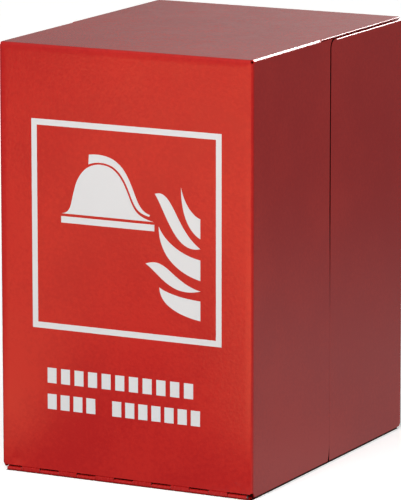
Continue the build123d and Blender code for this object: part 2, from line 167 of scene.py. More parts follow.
bend = np.linspace(0.0, np.pi / 2, SWEEP_CURVE_RINGS)
sweep_radii = np.concatenate([
    SWEEP_FLOOR_RINGS, SWEEP_FLAT + SWEEP_CURVE * np.sin(bend), [SWEEP_FLAT + SWEEP_CURVE],
])
sweep_heights = np.concatenate([
    np.zeros(len(SWEEP_FLOOR_RINGS)), SWEEP_CURVE * (1 - np.cos(bend)), [SWEEP_CURVE + SWEEP_WALL],
])
sweep = revolved("paper_sweep", sweep_radii, sweep_heights, SWEEP_TURNS)
sweep.visible_diffuse = False
sweep.visible_glossy = False
sweep.visible_shadow = False
paper, make = new_material("matt_paper")
grain = make("TexNoise", {"Vector": make("TexCoord").outputs["Object"], "Scale": 3.0, "Detail": 3.0})
tone = make("MapRange", {"Value": grain.outputs["Fac"], "To Min": 0.79, "To Max": 0.81})
matt = make("BsdfDiffuse", {"Color": tone.outputs["Result"], "Roughness": 0.5})
away = make("VectorMath", {0: make("TexCoord").outputs["Object"]}, operation="LENGTH")
lift = make("MapRange", {
    "Value": away.outputs["Value"], "From Min": PAPER_GLOW_START, "From Max": PAPER_GLOW_END,
    "To Min": PAPER_GLOW, "To Max": PAPER_FAR_GLOW,
})
glow = make("Emission", {"Color": PAPER, "Strength": lift.outputs["Result"]})
both = make("AddShader")
paper.node_tree.links.new(matt.outputs[0], both.inputs[0])
paper.node_tree.links.new(glow.outputs[0], both.inputs[1])
make("OutputMaterial", {"Surface": both.outputs[0]})
sweep.data.materials.append(paper)


# Light: a grey room, a soft key in front and a fill on the right without reflections. A rim behind and three glowing
# cards are seen only in reflections: the rim draws the bright line on the top edges, the cards change the coat's
# tone over each face, and the front card is orange. Under the case, one dark card blocks light from below, and a
# second one, seen by the camera, is a painted shadow on the floor under the case's foot.
ROOM_LOW = (0.18, 0.18, 0.18, 1.0)
ROOM_HIGH = (0.33, 0.33, 0.325, 1.0)
HORIZON_SOFT = 0.12
world = bpy.data.worlds.new("room")
world.use_nodes = True
room = world.node_tree
heading = room.nodes.new("ShaderNodeTexCoord")
height = room.nodes.new("ShaderNodeSeparateXYZ")
blend = room.nodes.new("ShaderNodeMapRange")
blend.interpolation_type = "SMOOTHSTEP"
blend.inputs["From Min"].default_value = -HORIZON_SOFT
blend.inputs["From Max"].default_value = HORIZON_SOFT
wall = room.nodes.new("ShaderNodeMix")
wall.data_type = "RGBA"
wall.inputs[MIX_FIRST].default_value = ROOM_LOW
wall.inputs[MIX_SECOND].default_value = ROOM_HIGH
room.links.new(heading.outputs["Generated"], height.inputs[0])
room.links.new(height.outputs["Z"], blend.inputs["Value"])
room.links.new(blend.outputs["Result"], wall.inputs[MIX_FACTOR])
room.links.new(wall.outputs[MIX_RESULT], room.nodes["Background"].inputs["Color"])
bpy.context.scene.world = world


def soft_light(name, place, aim, size, power):
    """A rectangular soft box at a place, facing a point, width by height in metres, with its power in watts."""
    data = bpy.data.lights.new(name, "AREA")
    data.shape = "RECTANGLE"
    data.size, data.size_y = size
    data.energy = power
    box = bpy.data.objects.new(name, data)
    bpy.context.scene.collection.objects.link(box)
    aimed = (Vector(aim) - Vector(place)).to_track_quat("-Z", "Y").to_matrix().to_4x4()
    box.matrix_world = Matrix.Translation(place) @ aimed
    box.visible_camera = False
    return box


CARD_ROWS = 61
CARD_COLS = 41


def glow_card(name, centre, out, over, reach, spread, glow, colour, ground):
    """A card seen only in reflections: a grid of points centre + t out + l over, for t within reach and l within
    spread, that glows with ground + glow(t, l) colour at each point."""
    t, l = np.meshgrid(np.linspace(*reach, CARD_ROWS), np.linspace(*spread, CARD_COLS), indexing="ij")
    out, over = (np.array(way) / np.linalg.norm(way) for way in (out, over))
    points = np.array(centre) + t[..., None] * out + l[..., None] * over
    card = placed(name, points, grid_faces(CARD_ROWS, CARD_COLS).tolist(), smooth=False)
    tones = np.array(ground)[None, None, :3] + glow(t, l)[..., None] * np.array(colour)
    tones = np.concatenate([tones, np.ones((CARD_ROWS, CARD_COLS, 1))], -1).astype(np.float32)
    card.data.attributes.new("glow", "FLOAT_COLOR", "POINT").data.foreach_set("color", tones.ravel())
    material, make = new_material(name)
    tone = make("Attribute", attribute_name="glow", attribute_type="GEOMETRY")
    lit = make("Emission", {"Color": tone.outputs["Color"]})
    make("OutputMaterial", {"Surface": lit.outputs[0]})
    card.data.materials.append(material)
    card.visible_camera = False
    card.visible_diffuse = False
    card.visible_shadow = False
    return card


SHADE_REACH = 0.003
SHADE_DROP = 0.0012
SHADE_INSET = 0.0016
SHADE_LEVEL = 0.00008
SHADE_BLACK = (0.004, 0.004, 0.004)
SHADE_RED = (0.010, 0.003, 0.003)
CARD_X, CARD_Y = 0.450, 0.872
FLOOR_CARD = -0.004
FRONT_CARD_X = 0.008
FRONT_TONE = (1.0, 0.36, 0.17)
SIDE_TONE = (1.0, 0.97, 0.95)
BACK_TONE = (1.0, 0.98, 0.97)
FRONT_GLOW = 2.95
FRONT_LEFT, FRONT_LEFT_SOFT = -0.21, 0.15
DARK_LONG, DARK_WIDE = 1.12, 0.075
DARK_EDGE, DARK_SOFT = 0.90, 0.22
FOOT_DARK, FOOT_SOFT = 0.10, 0.12
SIDE_GLOW, SIDE_END, SIDE_FADE = 0.25, 1.12, 0.75
SIDE_NEAR_GLOW, SIDE_NEAR = 0.08, 0.15
BACK_GLOW, BACK_END, BACK_FADE, BACK_DROP = 0.24, 0.12, 0.40, -0.02


def rising(x, start, span):
    """0 up to start, then a straight rise (x - start) / span to 1."""
    return np.clip((x - start) / span, 0.0, 1.0)


def falling(x, end, span):
    """A straight fall (end - x) / span from 1 to 0 at end, and 0 past it."""
    return np.clip((end - x) / span, 0.0, 1.0)


def no_glow(t, l):
    """Nothing anywhere, so that the card shows its ground alone."""
    return np.zeros_like(t)


def front_glow(t, l):
    """Bright, with a soft left side, and dark by the case's foot and inside the half ellipse
    (t / long)^2 + (l / wide)^2 = 1."""
    inside = np.sqrt((t / DARK_LONG) ** 2 + (l / DARK_WIDE) ** 2)
    sides = rising(l, FRONT_LEFT, FRONT_LEFT_SOFT)
    return FRONT_GLOW * sides * rising(inside, DARK_EDGE, DARK_SOFT) * rising(t, FOOT_DARK, FOOT_SOFT)


def side_glow(t, l):
    """Bright near the case, fading out slowly, with a little more right beside it."""
    return SIDE_GLOW * falling(t, SIDE_END, SIDE_FADE) + SIDE_NEAR_GLOW * falling(t, SIDE_NEAR, SIDE_NEAR)


def back_glow(t, l):
    """Faint on the left and brighter to the right."""
    return BACK_DROP + BACK_GLOW * falling(l, BACK_END, BACK_FADE)


def foot_shade(name, level, grow, ground):
    """A dark card under the case at a height, larger than the case's plan by grow on every side."""
    return glow_card(
        name, centre=(0.0, 0.0, level), out=(0.0, 1.0, 0.0), over=(-1.0, 0.0, 0.0),
        reach=(cad_low.y - grow, cad_high.y + grow), spread=(cad_low.x - grow, cad_high.x + grow),
        glow=no_glow, colour=(0.0, 0.0, 0.0), ground=ground,
    )


contact = foot_shade("contact_shade", -SHADE_DROP, SHADE_REACH, SHADE_BLACK)
contact.visible_diffuse = True
contact.visible_shadow = True
# under_shade is a painted shadow: a dark red sheet on the floor, just inside the case's outline.
under = foot_shade("under_shade", SHADE_LEVEL, -SHADE_INSET, SHADE_RED)
under.visible_camera = True
soft_light("key", place=(0.38, -2.0, 1.1), aim=(0.0, 0.0, 0.15), size=(1.25, 1.1), power=39.0)
rim = soft_light("rim", place=(0.31, 2.2, 1.22), aim=(0.0, 0.0, 0.3), size=(1.7, 0.72), power=72.0)
rim.visible_diffuse = False
fill = soft_light("fill", place=(1.7, 0.3, 1.4), aim=(0.0, 0.0, 0.2), size=(1.2, 1.2), power=5.6)
fill.visible_glossy = False
glow_card(
    "front_card", centre=(FRONT_CARD_X, cad_low.y, FLOOR_CARD), out=(-CARD_X, -CARD_Y, 0.0),
    over=(CARD_Y, -CARD_X, 0.0), reach=(0.0, 2.6), spread=(-0.26, 0.60),
    glow=front_glow, colour=FRONT_TONE, ground=ROOM_LOW,
)
glow_card(
    "side_card", centre=(cad_high.x, 0.0, FLOOR_CARD), out=(CARD_X, CARD_Y, 0.0),
    over=(-CARD_Y, CARD_X, 0.0), reach=(-0.16, 1.5), spread=(-0.5, 0.5),
    glow=side_glow, colour=SIDE_TONE, ground=ROOM_LOW,
)
glow_card(
    "back_card", centre=(-0.495, 0.959, 0.52), out=(0.0, 0.0, 1.0),
    over=(-0.888, -0.459, 0.0), reach=(-0.28, 0.20), spread=(-0.30, 0.42),
    glow=back_glow, colour=BACK_TONE, ground=ROOM_HIGH,
)


# Cover: 1 mm steel sheet. The top plate folds down into the face and, along half its depth, into the side flanges,
# and the face folds back into them at its upright corners. Red polyester powder coat: satin, with fine orange
# peel, a faint mottle, a shade deeper where it is thicker, and dull rub marks.
COAT_RED = (0.545, 0.0150, 0.0108, 1.0)
COAT_DEEP = (0.475, 0.0095, 0.0086, 1.0)
# Painted shade: a near-black red put on the seam's cut edges and on the tray's bends under the panels.
PAINTED_SHADE_RED = (0.040, 0.0035, 0.0040, 1.0)
WELD_DIMPLE = 0.0038
WELD_DEPTH = 0.00035


def powder_coat(name, height_maps, painted_shade_map):
    """Red powder coat. Each height map takes the node maker and gives a height in metres to press into it, and
    the last map gives 1 where painted shade goes: there the colour turns to a near-black red that stands in for
    shade."""
    material, make = new_material(name)
    place = make("TexCoord").outputs["Object"]
    cloud = make("TexNoise", {"Vector": place, "Scale": 14.0, "Detail": 3.0, "Roughness": 0.5})
    peel = make("TexNoise", {"Vector": place, "Scale": 480.0, "Detail": 3.0, "Roughness": 0.55})
    grain = make("TexNoise", {"Vector": place, "Scale": 2400.0, "Detail": 2.0, "Roughness": 0.6})
    rub = make("TexNoise", {"Vector": place, "Scale": 55.0, "Detail": 5.0, "Roughness": 0.65, "Distortion": 0.6})
    mottle = make("TexNoise", {"Vector": place, "Scale": 330.0, "Detail": 4.0, "Roughness": 0.75})
    uneven = make("Math", {0: cloud.outputs["Fac"], 1: mottle.outputs["Fac"]}, operation="ADD")
    shade = make("MapRange", {"Value": uneven.outputs[0], "From Min": 0.84, "From Max": 1.16})
    red = mix_colours(make, shade.outputs["Result"], COAT_DEEP, COAT_RED)
    colour = mix_colours(make, painted_shade_map(make, place), red, PAINTED_SHADE_RED)
    gloss = make("MapRange", {
        "Value": rub.outputs["Fac"], "From Min": 0.3, "From Max": 0.75, "To Min": 0.17, "To Max": 0.25,
    })
    below = {}
    for height_map in height_maps:
        pressed = make("Bump", {"Height": height_map(make, place), "Strength": 1.0, "Distance": 1.0, **below})
        below = {"Normal": pressed.outputs["Normal"]}
    peeled = make("Bump", {"Height": peel.outputs["Fac"], "Strength": 0.7, "Distance": 0.00016, **below})
    fine = make("Bump", {
        "Height": grain.outputs["Fac"], "Strength": 0.25, "Distance": 0.00002, "Normal": peeled.outputs["Normal"],
    })
    coat = make("BsdfPrincipled", {
        "Base Color": colour,
        "Roughness": gloss.outputs["Result"],
        "Normal": fine.outputs["Normal"],
        "IOR": 1.5,
    })
    make("OutputMaterial", {"Surface": coat.outputs[0]})
    return material


def weld_dimples(centres):
    """Height of shallow round dimples: a bell exp(-(d / r)^2) sunk at each centre on the face, in X and Z."""
    def height(make, place):
        total = None
        for x, z in centres:
            flat = make("VectorMath", {0: place, 1: (1.0, 0.0, 1.0)}, operation="MULTIPLY")
            away = make("VectorMath", {0: flat.outputs[0], 1: (x, 0.0, z)}, operation="DISTANCE")
            ratio = make("Math", {0: away.outputs["Value"], 1: WELD_DIMPLE}, operation="DIVIDE")
            square = make("Math", {0: ratio.outputs[0], 1: 2.0}, operation="POWER")
            fall = make("Math", {0: square.outputs[0], 1: -1.0}, operation="MULTIPLY")
            bell = make("Math", {0: math.e, 1: fall.outputs[0]}, operation="POWER")
            sunk = make("Math", {0: bell.outputs[0], 1: -WELD_DEPTH}, operation="MULTIPLY")
            if total:
                sunk = make("Math", {0: total, 1: sunk.outputs[0]}, operation="ADD")
            total = sunk.outputs[0]
        return total
    return height


ROLL_WIDTH = 0.0062
ROLL_DROP = 0.00044
SHEET = 0.001


def edge_roll(half, top, front):
    """Height of a face that rolls off beside its side and top bends: -drop (d / width)^2, where d is how far a
    point lies past the line that runs the roll's width inside the bends. It is nothing behind the face."""
    def height(make, place):
        across = make("SeparateXYZ", {0: place})
        far = make("Math", {0: across.outputs["X"]}, operation="ABSOLUTE")
        past_side = make("Math", {0: far.outputs[0], 1: half - ROLL_WIDTH}, operation="SUBTRACT")
        past_top = make("Math", {0: across.outputs["Z"], 1: top - ROLL_WIDTH}, operation="SUBTRACT")
        past = make("Math", {0: past_side.outputs[0], 1: past_top.outputs[0]}, operation="MAXIMUM")
        part = make("MapRange", {"Value": past.outputs[0], "From Min": 0.0, "From Max": ROLL_WIDTH})
        square = make("Math", {0: part.outputs["Result"], 1: 2.0}, operation="POWER")
        face = make("Math", {0: across.outputs["Y"], 1: front + SHEET}, operation="LESS_THAN")
        drop = make("Math", {0: face.outputs[0], 1: -ROLL_DROP}, operation="MULTIPLY")
        return make("Math", {0: square.outputs[0], 1: drop.outputs[0]}, operation="MULTIPLY").outputs[0]
    return height


SEAM_BEND = 0.0065
SEAM_BEND_HEIGHT = 0.3015
SEAM_NEAR = SEAM_BEND - 0.0001
SEAM_FAR = SEAM_BEND + 0.0019
SKIN = 0.00004
WELD_IN = 0.0125
WELD_UP = 0.0075


def seam_gap_shade(make, place):
    """1 on the cut edges of the seam, which get painted shade for the gap: where the distance from the centre of
    the seam's bend lies between the two edges of the gap. Below the bend the distance is taken straight across. The
    outer faces keep their plain coat colour."""
    from_bend = make("VectorMath", {0: place, 1: (0.0, SEAM_BEND, SEAM_BEND_HEIGHT)}, operation="SUBTRACT")
    parts = make("SeparateXYZ", {0: from_bend.outputs[0]})
    above = make("Math", {0: parts.outputs["Z"], 1: 0.0}, operation="MAXIMUM")
    flat = make("CombineXYZ", {"Y": parts.outputs["Y"], "Z": above.outputs[0]})
    away = make("VectorMath", {0: flat.outputs[0]}, operation="LENGTH")
    past_near = make("Math", {0: away.outputs["Value"], 1: SEAM_NEAR}, operation="GREATER_THAN")
    within_far = make("Math", {0: away.outputs["Value"], 1: SEAM_FAR}, operation="LESS_THAN")
    before = make("Math", {0: parts.outputs["Y"], 1: 0.0}, operation="LESS_THAN")
    gap = make("Math", {0: past_near.outputs[0], 1: within_far.outputs[0]}, operation="MULTIPLY")
    ahead = make("Math", {0: gap.outputs[0], 1: before.outputs[0]}, operation="MULTIPLY")
    across = make("SeparateXYZ", {0: place})
    out = make("Math", {0: across.outputs["X"]}, operation="ABSOLUTE")
    inside = make("Math", {0: out.outputs[0], 1: cad_high.x - SKIN}, operation="LESS_THAN")
    return make("Math", {0: ahead.outputs[0], 1: inside.outputs[0]}, operation="MULTIPLY").outputs[0]


cover_low, cover_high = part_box("front_cover")
weld_rows = [(side * (cover_high.x - WELD_IN), cover_low.z + WELD_UP) for side in (-1, 1)]
# The cover's cut edges at the seam get painted shade for the gap.
cover_coat = powder_coat("cover_powder_coat", (
    edge_roll(cover_high.x, cover_high.z, cover_low.y), weld_dimples(weld_rows),
), seam_gap_shade)
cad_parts["front_cover"].data.materials[0] = cover_coat


# Rear body and base tray: folded from the same 1 mm sheet, welded together and powder coated in one piece. The
# seam's cut edges and the tray's bends by the floor are painted near-black red, as painted shade for the gap and
# under the panels.
FLOOR_EDGE = 0.0024
TRAY_BEND = 0.0036


def tray_bend_shade(make, place):
    """1 on the tray's outer bends, which lie under the panels, close to whatever the case stands on; they get
    painted shade.
    """
    parts = make("SeparateXYZ", {0: place})
    side = make("Math", {0: parts.outputs["X"]}, operation="ABSOLUTE")
    at_side = make("Math", {0: side.outputs[0], 1: cad_high.x - TRAY_BEND}, operation="GREATER_THAN")
    at_back = make("Math", {0: parts.outputs["Y"], 1: cad_high.y - TRAY_BEND}, operation="GREATER_THAN")
    outer = make("Math", {0: at_side.outputs[0], 1: at_back.outputs[0]}, operation="MAXIMUM")
    low = make("Math", {0: parts.outputs["Z"], 1: FLOOR_EDGE}, operation="LESS_THAN")
    return make("Math", {0: outer.outputs[0], 1: low.outputs[0]}, operation="MULTIPLY").outputs[0]


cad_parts["rear_body"].data.materials[0] = powder_coat("body_powder_coat", (), seam_gap_shade)
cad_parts["base_tray"].data.materials[0] = powder_coat("tray_powder_coat", (), tray_bend_shade)


# Piano hinge: two coated steel leaves rolled round a plain wire pin. The coat has cracked off the knuckle ends
# where they rub, so thin lines of bare zinc show between the knuckles.
KNUCKLE_PITCH = 0.015
KNUCKLE_JOINTS = 12
RUB_WIDTH = 0.0005
RUB_HEIGHT = 0.002
BARE_METAL = (0.60, 0.58, 0.55, 1.0)
pin_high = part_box("hinge_pin")[1]
first_joint = pin_high.x - KNUCKLE_JOINTS * KNUCKLE_PITCH


def rubbed_hinge_coat(name):
    """The red coat, with bare metal within the rub width of each knuckle end and a few worn specks."""
    material, make = new_material(name)
    place = make("TexCoord").outputs["Object"]
    along = make("SeparateXYZ", {0: place})
    shifted = make("Math", {0: along.outputs["X"], 1: first_joint - KNUCKLE_PITCH / 2}, operation="SUBTRACT")
    lap = make("Math", {0: shifted.outputs[0], 1: KNUCKLE_PITCH}, operation="FLOORED_MODULO")
    centred = make("Math", {0: lap.outputs[0], 1: KNUCKLE_PITCH / 2}, operation="SUBTRACT")
    near = make("Math", {0: centred.outputs[0]}, operation="ABSOLUTE")
    specks = make("TexNoise", {"Vector": place, "Scale": 900.0, "Detail": 3.0, "Roughness": 0.6})
    ragged = make("MapRange", {
        "Value": specks.outputs["Fac"], "From Min": 0.3, "From Max": 0.7, "To Min": 0.0, "To Max": RUB_WIDTH,
    })
    bare = make("Math", {0: near.outputs[0], 1: ragged.outputs["Result"]}, operation="LESS_THAN")
    over_pin = make("Math", {0: along.outputs["Z"], 1: pin_high.z}, operation="GREATER_THAN")
    under_leaf = make("Math", {0: along.outputs["Z"], 1: pin_high.z + RUB_HEIGHT}, operation="LESS_THAN")
    on_top = make("Math", {0: over_pin.outputs[0], 1: under_leaf.outputs[0]}, operation="MULTIPLY")
    worn = make("Math", {0: bare.outputs[0], 1: on_top.outputs[0]}, operation="MULTIPLY")
    peel = make("TexNoise", {"Vector": place, "Scale": 700.0, "Detail": 2.0})
    skin = make("Bump", {"Height": peel.outputs["Fac"], "Strength": 0.35, "Distance": 0.00006})
    colour = mix_colours(make, worn.outputs[0], COAT_DEEP, BARE_METAL)
    dull = make("MapRange", {"Value": peel.outputs["Fac"], "To Min": 0.2, "To Max": 0.34})
    coat = make("BsdfPrincipled", {
        "Base Color": colour, "Metallic": worn.outputs[0],
        "Roughness": dull.outputs["Result"], "Normal": skin.outputs["Normal"],
    })
    make("OutputMaterial", {"Surface": coat.outputs[0]})
    return material


hinge_coat = rubbed_hinge_coat("rubbed_hinge_coat")
for name in ("hinge_leaf_cover", "hinge_leaf_body"):
    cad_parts[name].data.materials[0] = hinge_coat


# Zinc-plated steel: the hinge pin, the strike plate and the catch's pole plates, studs, washers and nuts. The
# plating keeps the drawn lines of the steel under it and takes a faint spangle.
def two_tones(make, factor, dark, light):
    """The colour that goes straight from dark to light as factor goes from 0 to 1."""
    ramp = make("ValToRGB", {"Fac": factor})
    ramp.color_ramp.elements[0].color = dark
    ramp.color_ramp.elements[1].color = light
    return ramp.outputs[0]


zinc, make = new_material("zinc_plate")
place = make("TexCoord").outputs["Object"]
spangle = make("TexVoronoi", {"Vector": place, "Scale": 260.0, "Randomness": 1.0})
stretched = make("Mapping", {"Vector": place, "Scale": (1.0, 9.0, 9.0)})
drawn = make("TexNoise", {"Vector": stretched.outputs[0], "Scale": 300.0})
tint = two_tones(make, spangle.outputs["Color"], (0.50, 0.52, 0.56, 1.0), (0.70, 0.69, 0.64, 1.0))
brushed = make("MapRange", {"Value": drawn.outputs["Fac"], "To Min": 0.24, "To Max": 0.46})
lines = make("Bump", {"Height": drawn.outputs["Fac"], "Strength": 0.3, "Distance": 0.00003})
plate = make("BsdfPrincipled", {
    "Base Color": tint, "Metallic": 1.0, "Roughness": brushed.outputs["Result"],
    "Normal": lines.outputs["Normal"],
})
make("OutputMaterial", {"Surface": plate.outputs[0]})
for name in ("hinge_pin", "strike_plate", "catch_pole_plates", "catch_studs", "catch_washers", "catch_nuts"):
    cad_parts[name].data.materials[0] = zinc


# Magnetic catch: a black moulded housing with an eroded finish, holding a sintered ferrite block between two pole
# plates. It hangs from two studs under the rear body's top flange, and the strike plate on the cover meets it.
moulding, make = new_material("black_moulding")
place = make("TexCoord").outputs["Object"]
spark = make("TexVoronoi", {"Vector": place, "Scale": 2200.0})
flow = make("TexNoise", {"Vector": place, "Scale": 60.0, "Detail": 4.0})
matt = make("MapRange", {"Value": flow.outputs["Fac"], "To Min": 0.38, "To Max": 0.6})
tone = two_tones(make, flow.outputs["Fac"], (0.018, 0.018, 0.020, 1.0), (0.040, 0.040, 0.042, 1.0))
eroded = make("Bump", {"Height": spark.outputs["Distance"], "Strength": 0.4, "Distance": 0.00005})
plastic = make("BsdfPrincipled", {
    "Base Color": tone, "Roughness": matt.outputs["Result"], "Normal": eroded.outputs["Normal"],
})
make("OutputMaterial", {"Surface": plastic.outputs[0]})
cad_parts["catch_housing"].data.materials[0] = moulding

sinter, make = new_material("sintered_ferrite")
place = make("TexCoord").outputs["Object"]
pores = make("TexNoise", {"Vector": place, "Scale": 1800.0, "Detail": 4.0, "Roughness": 0.7})
# Painted shade: the ferrite is darker in its pits, from the same noise that presses them.
grey = two_tones(make, pores.outputs["Fac"], (0.030, 0.030, 0.033, 1.0), (0.085, 0.082, 0.080, 1.0))
pitted = make("Bump", {"Height": pores.outputs["Fac"], "Strength": 0.5, "Distance": 0.00006})
rough = make("MapRange", {"Value": pores.outputs["Fac"], "To Min": 0.42, "To Max": 0.66})
block = make("BsdfPrincipled", {
    "Base Color": grey, "Roughness": rough.outputs["Result"], "Normal": pitted.outputs["Normal"],
})
make("OutputMaterial", {"Surface": block.outputs[0]})
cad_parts["catch_magnet"].data.materials[0] = sinter


# Sign and caption: white vinyl film, cut out and pressed on to the cover's face. It takes up a little of the
# coating's orange peel and has a duller surface.
film, make = new_material("white_vinyl")
place = make("TexCoord").outputs["Object"]
peel = make("TexNoise", {"Vector": place, "Scale": 620.0, "Detail": 2.0})
haze = make("TexNoise", {"Vector": place, "Scale": 40.0, "Detail": 3.0})
white = two_tones(make, haze.outputs["Fac"], (0.735, 0.745, 0.75, 1.0), (0.765, 0.775, 0.78, 1.0))
skin = make("Bump", {"Height": peel.outputs["Fac"], "Strength": 0.2, "Distance": 0.00004})
dull = make("MapRange", {"Value": haze.outputs["Fac"], "To Min": 0.34, "To Max": 0.46})
vinyl = make("BsdfPrincipled", {
    "Base Color": white, "Roughness": dull.outputs["Result"], "Normal": skin.outputs["Normal"],
})
make("OutputMaterial", {"Surface": vinyl.outputs[0]})
for name in ("sign_frame", "sign_helmet", "sign_flames", "caption_blocks"):
    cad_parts[name].data.materials[0] = film


# Fire blanket: one sheet of heavy woven glass cloth, 1.6 x 2.0 m with a stitched hem. It is folded in nine plies
# across, then up and down in eight runs one behind another, and stands on the tray.
CLOTH_THICK = 0.0016
PLIES = 9
RUNS = 8
PLY_PITCH = 0.00245
PLY_STEPS = 12
PLY_TURN_STEPS = 6
RUN_STEPS = 10
RUN_TURN_STEPS = 14
EDGE_DROP = 0.004
YARN = 0.0013
HEM = 0.014
STITCH_PITCH = 0.004
STITCH_HALF_WIDTH = 0.0007
STITCH_SHARE = 0.75
PLY_SLIP = 0.0022
RUN_SLIP = 0.0035
DRAW_IN, DRAW_IN_REACH = 0.006, 0.5
RIPPLE, RIPPLE_REACH, RIPPLE_FADE = 0.0012, 0.16, 6.0
TOP_SAG, TOP_SAG_REACH = 0.0016, 0.12
SEED = 7
rng = np.random.default_rng(SEED)


def cloth_mesh(name, points, lengths):
    """A mesh from a grid of points, with a UV map whose U and V are lengths along the cloth in metres."""
    faces = grid_faces(*points.shape[:2], flipped=True)
    made = placed(name, points, faces.tolist())
    chart = made.data.uv_layers.new(name="cloth")
    chart.data.foreach_set("uv", lengths.reshape(-1, 2)[faces.ravel()].astype(np.float32).ravel())
    return made


def solidify(piece, thickness):
    """Gives a sheet its thickness, half to each side."""
    wall = piece.modifiers.new("thickness", "SOLIDIFY")
    wall.thickness = thickness
    wall.offset = 0.0
    wall.use_even_offset = False


def ply_section(half):
    """Across the cloth: x runs between -half and +half ply by ply, and the offset climbs one pitch round a
    half circle of radius pitch / 2 at each end. Returns x, offset and the length so far."""
    x, offset = [], []
    for ply in range(PLIES):
        way = 1 if ply % 2 == 0 else -1
        level = (ply - (PLIES - 1) / 2) * PLY_PITCH
        reach = half - PLY_PITCH / 2 - rng.uniform(0.0, PLY_SLIP, 2)
        line = np.linspace(-way * reach[0], way * reach[1], PLY_STEPS + 1)
        x.append(line)
        offset.append(np.full(PLY_STEPS + 1, level))
        if ply < PLIES - 1:
            angle = np.linspace(-np.pi / 2, np.pi / 2, PLY_TURN_STEPS + 1)[1:-1]
            x.append(way * reach[1] + way * PLY_PITCH / 2 * np.cos(angle))
            offset.append(level + PLY_PITCH / 2 * (1 + np.sin(angle)))
    x, offset = np.concatenate(x), np.concatenate(offset)
    return x, offset, np.concatenate([[0.0], np.cumsum(np.hypot(np.diff(x), np.diff(offset)))])


def run_line(front, pitch, bottom, top):
    """Along the cloth: (y, z) goes down and up run by run, joined by half circles of radius pitch / 2 whose
    outer plies reach the bottom or the top. Returns y, z, the normal and the length so far."""
    y, z, ny, nz = [], [], [], []
    reach = pitch / 2 + (PLIES - 1) / 2 * PLY_PITCH + CLOTH_THICK / 2
    tops = top - reach - rng.uniform(0.0, RUN_SLIP, RUNS)
    lows = np.full(RUNS, bottom + reach)
    for run in range(RUNS):
        down = run % 2 == 0
        where = front + pitch * (run + 0.5)
        start = tops[run - 1] if down else lows[run - 1]
        end = lows[run] if down else tops[run]
        start = top - EDGE_DROP if run == 0 else start
        end = top - EDGE_DROP if run == RUNS - 1 else end
        way = -1.0 if down else 1.0
        y.append(np.full(RUN_STEPS + 1, where))
        z.append(np.linspace(start, end, RUN_STEPS + 1))
        ny.append(np.full(RUN_STEPS + 1, way))
        nz.append(np.zeros(RUN_STEPS + 1))
        if run < RUNS - 1:
            angle = np.linspace(0.0, np.pi, RUN_TURN_STEPS + 1)[1:-1]
            y.append(where + pitch / 2 * (1 - np.cos(angle)))
            z.append(end + way * pitch / 2 * np.sin(angle))
            ny.append(way * np.cos(angle))
            nz.append(-np.sin(angle))
    y, z = np.concatenate(y), np.concatenate(z)
    length = np.concatenate([[0.0], np.cumsum(np.hypot(np.diff(y), np.diff(z)))])
    return y, z, np.concatenate(ny), np.concatenate(nz), length


def slow_waves(count, reach, *axes):
    """A sum of sines along given axes with random directions, phases and lengths near reach, within about 1."""
    total = 0.0
    for _ in range(count):
        pull = rng.uniform(-1.0, 1.0, len(axes)) * 2 * np.pi / reach
        total = total + np.sin(sum(p * a for p, a in zip(pull, axes)) + rng.uniform(0, 2 * np.pi))
    return total / np.sqrt(count)


pack_low, pack_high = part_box("fire_blanket")
half = (pack_high.x - pack_low.x) / 2 - CLOTH_THICK / 2
run_pitch = (pack_high.y - pack_low.y) / RUNS
across_x, offset, across_length = ply_section(half)
run_y, run_z, normal_y, normal_z, along_length = run_line(pack_low.y, run_pitch, pack_low.z, pack_high.z)
U, V = np.meshgrid(across_length, along_length)
wave = slow_waves(5, DRAW_IN_REACH, V)
X = across_x[None] * (1.0 - DRAW_IN * (1 + np.tanh(wave)) / 2)
Y = run_y[:, None] + normal_y[:, None] * offset[None]
Z = run_z[:, None] + normal_z[:, None] * offset[None]
depth = np.clip((Y - pack_low.y) / (pack_high.y - pack_low.y), 0.0, 1.0)
edge = np.clip(1.0 - depth, 0.0, 1.0) * np.clip(depth * RIPPLE_FADE, 0.0, 1.0)
Y = Y + RIPPLE * edge * slow_waves(4, RIPPLE_REACH, X, Z)
Z = Z - TOP_SAG * np.clip(Z / pack_high.z - 0.5, 0.0, 0.5) * (1 + slow_waves(4, TOP_SAG_REACH, X, Y))
blanket = cloth_mesh("blanket_cloth", np.stack([X, Y, Z], -1), np.stack([U, V], -1))
solidify(blanket, CLOTH_THICK)

cloth, make = new_material("woven_glass_cloth")
chart = make("UVMap", uv_map="cloth").outputs[0]
thread = make("SeparateXYZ", {0: chart})
warp_phase = make("Math", {0: thread.outputs["X"], 1: 2 * math.pi / (2 * YARN)}, operation="MULTIPLY")
weft_phase = make("Math", {0: thread.outputs["Y"], 1: 2 * math.pi / (2 * YARN)}, operation="MULTIPLY")
warp = make("Math", {0: warp_phase.outputs[0]}, operation="SINE")
weft = make("Math", {0: weft_phase.outputs[0]}, operation="SINE")
over = make("Math", {0: warp.outputs[0], 1: weft.outputs[0]}, operation="MULTIPLY")
loft = make("TexNoise", {"Vector": chart, "Scale": 900.0, "Detail": 3.0, "Roughness": 0.6})
raised = make("Math", {0: over.outputs[0], 1: loft.outputs["Fac"]}, operation="ADD")
weave = make("Bump", {"Height": raised.outputs[0], "Strength": 0.7, "Distance": 0.00022})
stretched = make("Mapping", {"Vector": chart, "Scale": (8.0, 260.0, 1.0)})
slub = make("TexNoise", {"Vector": stretched.outputs[0], "Scale": 3.0, "Detail": 3.0})
soil = make("TexNoise", {"Vector": make("TexCoord").outputs["Object"], "Scale": 16.0, "Detail": 4.0})
mixed = make("Math", {0: slub.outputs["Fac"], 1: soil.outputs["Fac"]}, operation="MULTIPLY")
shade = make("MapRange", {"Value": mixed.outputs[0], "From Min": 0.12, "From Max": 0.42})
tint = two_tones(make, shade.outputs["Result"], (0.56, 0.52, 0.44, 1.0), (0.74, 0.71, 0.63, 1.0))
